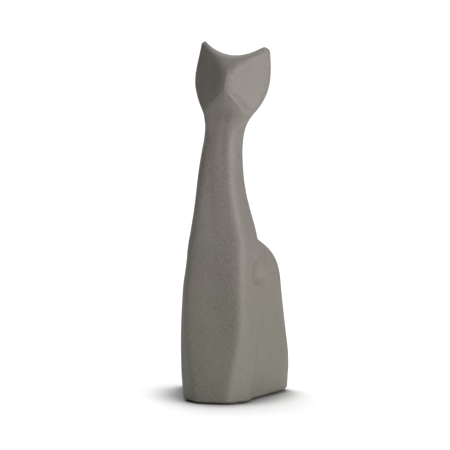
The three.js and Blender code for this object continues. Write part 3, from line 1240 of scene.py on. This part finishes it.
@dataclass
class Stopper:
    """Push-in rubber stopper: dished flange with a grip bar, tapered plug with ribs."""

    node: str = "base_stopper"
    columns: int = 96
    flange: float = 1.4
    plug_radius: float = 11.2
    rib_height: float = 0.5
    rib_radius: float = 0.45
    ribs: int = 2
    rib_sides: int = 12
    first_rib: float = 0.9
    taper: float = 0.8
    dish: float = 0.5
    grip: Span = (3.4, 5.8)
    grip_slope: float = 0.5
    grip_sunk: float = 0.05
    rim: Span = (3.4, 2.8)
    tip_wall: float = 2.2
    tip_hollow: float = 2.6

    def build(self) -> None:
        """Makes and settles the stopper and its ribs."""
        low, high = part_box(self.node)
        middle = (low + high) / 2 / MM
        centre = middle.x, middle.y
        bottom, top, radius = low.z / MM, high.z / MM, (high.x - low.x) / 2 / MM
        material = StopperRubber().material()
        self.plug(bottom, top, radius, centre, material)
        self.rib_rings(bottom, top, centre, material)

    def plug(self, bottom: float, top: float, radius: float, centre: Span, material: Material) -> None:
        """Turns the flange and the plug.

        Args:
            bottom: lowest height, in millimetres.
            top: highest height.
            radius: the flange's radius.
            centre: where the axis stands.
            material: the rubber.
        """
        shoulder, dished, tip = bottom + self.flange, bottom + self.dish, self.plug_radius - self.taper
        grip, low = self.grip, bottom + self.grip_sunk
        profile = eased_profile(
            [
                (0, dished, 0),
                (grip[0], dished, 0.2),
                (grip[0] + self.grip_slope, low, 0.25),
                (grip[1] - self.grip_slope - 0.1, low, 0.25),
                (grip[1], dished, 0.25),
                (radius - self.rim[0], dished, 0.3),
                (radius - self.rim[1], bottom, 0.3),
                (radius - 0.1, bottom, 0.4),
                (radius, shoulder, 0.3),
                (self.plug_radius, shoulder, 0.35),
                (tip, top - 0.1, 0.9),
                (tip - self.tip_wall, top, 0.4),
                (tip - self.tip_hollow, top - self.tip_hollow, 0.4),
                (0, top - self.tip_hollow - 0.2, 0),
            ]
        )
        rings = turned_rings(profile, self.columns, centre)
        rings[0, :, :2], rings[-1, :, :2] = centre, centre
        piece = new_object("rubber_stopper", ring_mesh("rubber_stopper", rings * MM), material)
        settle(piece, Body.STOPPER, (self.node,))

    def rib_rings(self, bottom: float, top: float, centre: Span, material: Material) -> None:
        """Repeats the sealing rib up the plug.

        Args:
            bottom: lowest height, in millimetres.
            top: highest height.
            centre: where the axis stands.
            material: the rubber.
        """
        shoulder = bottom + self.flange
        pitch = (top - shoulder) / (self.ribs + 1.5)
        ring_radius = self.plug_radius + self.rib_height - self.rib_radius
        tree = GeometryTree(
            "stopper_ribs",
            {
                "Rib Count": ("NodeSocketInt", self.ribs),
                "Rib Pitch": ("NodeSocketFloat", pitch * MM),
                "Ring Radius": ("NodeSocketFloat", ring_radius * MM),
                "Rib Radius": ("NodeSocketFloat", self.rib_radius * MM),
            },
        )
        nodes, start = tree.nodes, tree.start
        ring, bead = (
            nodes.fill(nodes.add("GeometryNodeCurvePrimitiveCircle", sides), {"Radius": start.outputs[radius]})
            for sides, radius in ((self.columns, "Ring Radius"), (self.rib_sides, "Rib Radius"))
        )
        tube = nodes.add("GeometryNodeCurveToMesh", ring.outputs[0], bead.outputs[0])
        step = nodes.add("ShaderNodeCombineXYZ", 0.0, 0.0, start.outputs["Rib Pitch"])
        first = Vector((*centre, shoulder + self.first_rib * pitch)) * MM
        line = nodes.add("GeometryNodeMeshLine", start.outputs["Rib Count"])
        nodes.fill(line, {"Offset": step.outputs[0], "Start Location": first})
        put = nodes.add("GeometryNodeInstanceOnPoints", line.outputs[0])
        nodes.fill(put, {"Instance": tube.outputs[0]})
        tree.finish(put.outputs[0], material)
        seed = bpy.data.meshes.new("rib_seed")
        ribs = tree.run("stopper_ribs", seed, material)
        face_out(ribs.data)
        settle(ribs, Body.STOPPER)


@dataclass
class FeltFeet:
    """Four self-adhesive felt discs with a slightly frayed edge."""

    nodes: tuple[str, ...] = (
        "felt_pad_front_left",
        "felt_pad_front_right",
        "felt_pad_rear_left",
        "felt_pad_rear_right",
    )
    columns: int = 72
    fibre_density: float = 6500000
    fibre_length: float = 0.42
    fibre_radius: float = 0.022
    fibre_tip: float = 0.3
    fibre_slim: Triple = (0.7, 0.7, 0.5)
    fibre_stout: Triple = (1.3, 1.3, 1.2)
    lean_from: Triple = (-1.3, -1.3, 0)
    lean_to: Triple = (1.3, 1.3, 6.3)
    rim_slant: float = 0.6
    lift: float = 0.02
    bulge: float = 0.06
    ragged: tuple[tuple[int, float], ...] = ((9, 0.006), (23, 0.004))

    def build(self) -> None:
        """Makes and settles each foot and its loose fibres."""
        material = PressedFelt().material()
        for number, node in enumerate(self.nodes):
            disc = self.disc(node)
            foot = new_object(node.replace("pad", "foot"), disc, material)
            fuzz = self.fibres(node, disc, material, number)
            settle(foot, Body.FIGURINE, (node,))
            settle(fuzz, Body.FIGURINE)

    def disc(self, node: str) -> Mesh:
        """Cuts one disc, its edge softened and a little uneven.

        Args:
            node: the CAD node the disc stands for.

        Returns:
            The disc's mesh.
        """
        low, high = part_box(node)
        low, high = low / MM, high / MM
        radius, centre, under = (high.x - low.x) / 2, (low + high) / 2, low.z + self.lift
        profile = eased_profile(
            [
                (0, under, 0),
                (radius / 2, under, 0),
                (radius - self.bulge, under, 0.3),
                (radius, centre.z, 0.3),
                (radius - self.bulge, high.z, 0.2),
                (radius / 2, high.z, 0),
                (0, high.z, 0),
            ]
        )
        rings = turned_rings(profile, self.columns, (0, 0))
        turn = np.arctan2(rings[..., 0], -rings[..., 1])
        waves = zip(self.ragged, (low.x, 2 * low.y))
        rings[..., :2] *= (1 + sum(depth * np.sin(n * turn + start) for (n, depth), start in waves))[..., None]
        rings[..., 0] += centre.x
        rings[..., 1] += centre.y
        rings[0, :, :2], rings[-1, :, :2] = centre[:2], centre[:2]
        return ring_mesh(node, rings * MM)

    def fibres(self, node: str, disc: Mesh, material: Material, seed: int) -> Object:
        """Grows short fibres out of the disc's edge.

        Args:
            node: the CAD node the disc stands for.
            disc: the disc's mesh.
            material: the felt.
            seed: seed of the strewing.

        Returns:
            The fibres as one piece.
        """
        tree = GeometryTree(
            f"fray_{node}",
            {
                "Density": ("NodeSocketFloat", self.fibre_density),
                "Fibre Length": ("NodeSocketFloat", self.fibre_length * MM),
                "Fibre Radius": ("NodeSocketFloat", self.fibre_radius * MM),
                "Seed": ("NodeSocketInt", seed),
            },
        )
        nodes, start = tree.nodes, tree.start
        normal = nodes.add("GeometryNodeInputNormal")
        upright = nodes.add("ShaderNodeSeparateXYZ", normal.outputs[0])
        edge = tree.below(nodes.maths("ABSOLUTE", upright.outputs[2]), self.rim_slant)
        sizes = {
            "Radius Top": self.fibre_tip * self.fibre_radius * MM,
            "Radius Bottom": start.outputs["Fibre Radius"],
            "Depth": start.outputs["Fibre Length"],
        }
        fibre = nodes.fill(nodes.add("GeometryNodeMeshCone", 3, 1, 1), sizes)
        lean = nodes.add("FunctionNodeEulerToRotation", tree.random_vector(self.lean_from, self.lean_to))
        size = tree.random_vector(self.fibre_slim, self.fibre_stout)
        copies = strewn(tree, edge, fibre.outputs[0], size)
        tipped = nodes.fill(nodes.add("GeometryNodeRotateInstances", copies), {"Rotation": lean.outputs[0]})
        tree.finish(tipped.outputs[0], material)
        return tree.run(node.replace("pad", "fibres"), disc.copy(), material)


# --- Studio ---


@dataclass(frozen=True)
class PaleFloor(Finish):
    """Plain white floor with a painted contact shadow that darkens it softly where the cat's foot meets it."""

    colour: Rgb = (0.87, 0.87, 0.87)
    # Colour, reach and Ambient Occlusion range of the painted contact shadow on the floor.
    painted_shadow: Rgb = (0.24, 0.24, 0.24)
    painted_shadow_reach: float = 42 * MM
    painted_shadow_span: Span = (0.4, 0.94)
    unevenness: float = 0.99
    uneven_scale: float = 3

    def material(self) -> Material:
        """Builds the floor's finish.

        Returns:
            The material.
        """
        material, nodes, shader = self.shader("pale_floor", 0.95, 0.0)
        tone = nodes.span(nodes.noise(nodes.place(), self.uneven_scale), (0.3, 0.7))
        plain = nodes.blend(tone, self.colour, tuple(self.unevenness * c for c in self.colour))
        # Painted contact shadow: an Ambient Occlusion node darkens the floor's colour towards dark grey near
        # the cat's foot.
        near = nodes.add("ShaderNodeAmbientOcclusion", samples=12)
        nodes.fill(near, {"Distance": self.painted_shadow_reach})
        outside_painted_shadow = nodes.span(near.outputs["AO"], self.painted_shadow_span)
        nodes.feed(shader.inputs["Base Color"], nodes.blend(outside_painted_shadow, self.painted_shadow, plain))
        return material


@dataclass(frozen=True)
class Lobe:
    """One soft light, brightest in its own direction."""

    azimuth: float
    elevation: float
    power: float
    focus: float

    def direction(self) -> Triple:
        """Direction towards the light.

        Returns:
            The unit direction.
        """
        azimuth, elevation = math.radians(self.azimuth), math.radians(self.elevation)
        level = math.cos(elevation)
        return (math.sin(azimuth) * level, -math.cos(azimuth) * level, math.sin(elevation))


@dataclass
class Studio:
    """White floor, a broad soft light to the right of the camera, one behind, and the camera."""

    azimuth: float = math.radians(14)
    distance: float = 2600
    camera_z: float = 425.8
    aim_z: float = 146.3
    aim_right: float = 1.8
    focus_z: float = 150
    frame_width: float = 378.15126
    sensor: float = 36
    floor_half: float = 1.0
    floor_gap: float = 0.05
    ambient: float = 0.02
    backdrop: float = 1.1
    lobes: tuple[Lobe, ...] = (
        Lobe(azimuth=58, elevation=-3, power=10.4, focus=8.0),
        Lobe(azimuth=201, elevation=62, power=3.5, focus=3.5),
    )

    def build(self) -> None:
        """Makes the floor, the light and the camera."""
        self.floor()
        self.light()
        self.camera()
        bpy.context.scene.view_settings.view_transform = "Standard"

    def floor(self) -> None:
        """Lays the floor just under the felt."""
        half, low = self.floor_half, -self.floor_gap * MM
        mesh = bpy.data.meshes.new("pale_floor")
        corner = [(x * half, y * half, low) for x, y in ((-1, -1), (1, -1), (1, 1), (-1, 1))]
        mesh.from_pydata(corner, [], [(0, 1, 2, 3)])
        new_object("pale_floor", mesh, PaleFloor().material())

    def light(self) -> None:
        """Lights the scene from soft lobes in the sky, which is plain white to the camera."""
        world = bpy.data.worlds.new("studio")
        bpy.context.scene.world = world
        world.use_nodes = True
        tree = world.node_tree
        nodes = Nodes(tree)
        where = nodes.add("ShaderNodeTexCoord").outputs["Generated"]
        total: NodeSocket | float = self.ambient
        for lobe in self.lobes:
            facing = nodes.add("ShaderNodeVectorMath", where, lobe.direction(), operation="DOT_PRODUCT")
            glow = nodes.maths("POWER", nodes.maths("MAXIMUM", facing.outputs["Value"], 0.0), lobe.focus)
            total = nodes.maths("MULTIPLY_ADD", glow, lobe.power, total)
        sky = tree.nodes["Background"]
        nodes.feed(sky.inputs["Strength"], total)
        seen = nodes.add("ShaderNodeBackground")
        nodes.feed(seen.inputs["Strength"], self.backdrop)
        for background in (sky, seen):
            background.inputs["Color"].default_value = (1, 1, 1, 1)
        path = nodes.add("ShaderNodeLightPath").outputs["Is Camera Ray"]
        both = nodes.add("ShaderNodeMixShader", path, sky.outputs[0], seen.outputs[0])
        nodes.feed(tree.nodes["World Output"].inputs["Surface"], both.outputs[0])

    def camera(self) -> None:
        """Places a long lens a little above the cat's head, to its left front."""
        data = bpy.data.cameras.new("camera")
        camera = bpy.data.objects.new("camera", data)
        bpy.context.scene.collection.objects.link(camera)
        side = Vector((math.cos(self.azimuth), math.sin(self.azimuth), 0))
        back = Vector((math.sin(self.azimuth), -math.cos(self.azimuth), 0))
        centre = Vector((0, -CatForm().setback, 0))
        place = centre + back * self.distance + Vector((0, 0, self.camera_z))
        aim = centre + side * self.aim_right + Vector((0, 0, self.aim_z))
        reach = (Vector((0, 0, self.focus_z)) + centre - place).length
        camera.location = place * MM
        camera.rotation_euler = (place - aim).to_track_quat("Z", "Y").to_euler()
        data.sensor_width = self.sensor
        data.lens = self.sensor * reach / self.frame_width
        data.clip_start, data.clip_end = 0.1, 30
        bpy.context.scene.camera = camera


# --- Assembly ---


def corners(box: tuple[Vector, Vector]) -> list[list[float]]:
    """A box as plain lists."""
    return [list(corner) for corner in box]


def main() -> None:
    """Builds every sub-assembly in order."""
    logging.basicConfig(level=logging.INFO, format="%(name)s %(message)s")
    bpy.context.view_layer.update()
    builders: list[Callable[[], None]] = [Casting().build, Stopper().build, FeltFeet().build, Studio().build]
    for build in builders:
        build()


if __name__ == "__main__":
    main()
